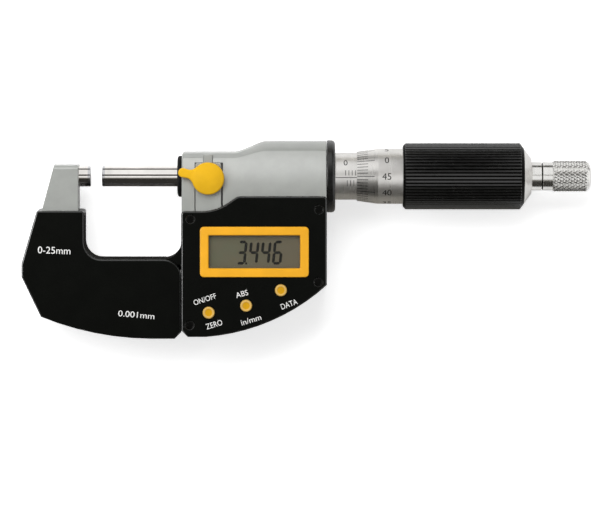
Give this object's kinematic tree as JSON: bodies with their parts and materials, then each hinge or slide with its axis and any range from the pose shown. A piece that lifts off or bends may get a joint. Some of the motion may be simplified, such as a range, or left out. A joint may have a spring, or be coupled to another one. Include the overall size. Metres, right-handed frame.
{
  "type": "digital outside micrometer",
  "caption": "Outside micrometer with a U-shaped frame, digital display unit, yellow lock lever, graduated sleeve and thimble, ribbed grip and friction stop.",
  "frame": {"origin": "centre of the anvil's measuring face", "axes": "+X along the spindle axis from the anvil to the thimble, +Y across the frame from the bow towards the spindle side, +Z out of the display; the part lies on its back"},
  "size_m": [0.1748, 0.0607, 0.0262],
  "materials": {
    "grey_paint": "grey stoving enamel with a fine texture",
    "black_cover": "satin black moulded plastic",
    "black_rubber": "black rubber",
    "black_metal": "black oxide",
    "black_grip": "black anodised, ribbed",
    "satin_chrome": "satin chrome plating",
    "ground_steel": "ground and lapped steel",
    "carbide": "lapped carbide",
    "bronze": "bearing bronze",
    "yellow_plastic": "satin yellow plastic",
    "clear_window": "clear window",
    "lcd_grey": "grey-green liquid crystal cell",
    "green_board": "green circuit board"
  },
  "bodies": {
    "frame": {"frame": "grey_paint", "anvil": "ground_steel", "anvil_tip": "carbide", "front_cover": "black_cover", "back_cover": "black_cover", "seal_cap": "black_metal", "spindle_wiper": "black_rubber", "front_bush": "bronze", "lock_block": "grey_paint", "lock_shoe": "bronze", "encoder_stator": "green_board", "rotor_retainer": "ground_steel", "end_flange": "black_metal", "sleeve": "satin_chrome", "inner_sleeve": "ground_steel", "adjusting_nut": "ground_steel", "front_panel": "black_cover", "back_shell": "black_cover", "unit_gasket": "black_rubber", "panel_screws": "black_metal", "back_screws": "black_metal", "display_bezel": "yellow_plastic", "display_window": "clear_window", "lcd_cell": "lcd_grey", "lcd_connectors": "black_rubber", "circuit_board": "green_board", "board_posts": "ground_steel", "button_membrane": "black_rubber", "battery": "ground_steel", "battery_cup": "black_cover", "port_cover": "black_rubber", "port_screws": "ground_steel", "data_socket": "black_cover"},
    "rotor": {"encoder_rotor": "green_board", "rotor_key": "ground_steel"},
    "spindle": {"spindle": "ground_steel", "spindle_tip": "carbide", "thimble": "satin_chrome", "thimble_grip": "black_grip", "thimble_nose": "satin_chrome", "stop_screw": "ground_steel", "friction_washer": "bronze", "stop_spring": "ground_steel"},
    "stop": {"stop_knob": "satin_chrome", "knob_cap": "satin_chrome"},
    "lock": {"lock_lever": "yellow_plastic", "lock_pin": "ground_steel"},
    "zero_key": {"button_zero": "yellow_plastic"},
    "abs_key": {"button_abs": "yellow_plastic"},
    "data_key": {"button_data": "yellow_plastic"},
    "battery_door": {"battery_cap": "black_cover"}
  },
  "joints": [
    {"name": "thimble_turn", "type": "hinge", "parent": "frame", "child": "rotor", "pos_m": [0.0565, 0, 0], "axis": [1, 0, 0], "range_deg": [-2481.14, 15518.9]},
    {"name": "spindle_feed", "type": "slide", "parent": "rotor", "child": "spindle", "axis": [1, 0, 0], "range_m": [-0.00345, 0.02155]},
    {"name": "stop_turn", "type": "hinge", "parent": "spindle", "child": "stop", "pos_m": [0.1414, 0, 0], "axis": [1, 0, 0], "continuous": true},
    {"name": "lock_turn", "type": "hinge", "parent": "frame", "child": "lock", "pos_m": [0.0362, 0, 0.0115], "axis": [0, 0, -1], "range_deg": [0, 60]},
    {"name": "zero_press", "type": "slide", "parent": "frame", "child": "zero_key", "axis": [0, 0, -1], "range_m": [0, 0.00045], "stiffness_N_per_m": 600, "springref_m": -0.0005},
    {"name": "abs_press", "type": "slide", "parent": "frame", "child": "abs_key", "axis": [0, 0, -1], "range_m": [0, 0.00045], "stiffness_N_per_m": 600, "springref_m": -0.0005},
    {"name": "data_press", "type": "slide", "parent": "frame", "child": "data_key", "axis": [0, 0, -1], "range_m": [0, 0.00045], "stiffness_N_per_m": 600, "springref_m": -0.0005},
    {"name": "battery_cap_turn", "type": "hinge", "parent": "frame", "child": "battery_door", "pos_m": [0.0435, -0.0305, -0.0122], "axis": [0, 0, -1], "range_deg": [0, 45]}
  ],
  "couplings": [
    {"joint": "thimble_turn", "follows": "spindle_feed", "rad_per_m": 12566}
  ]
}
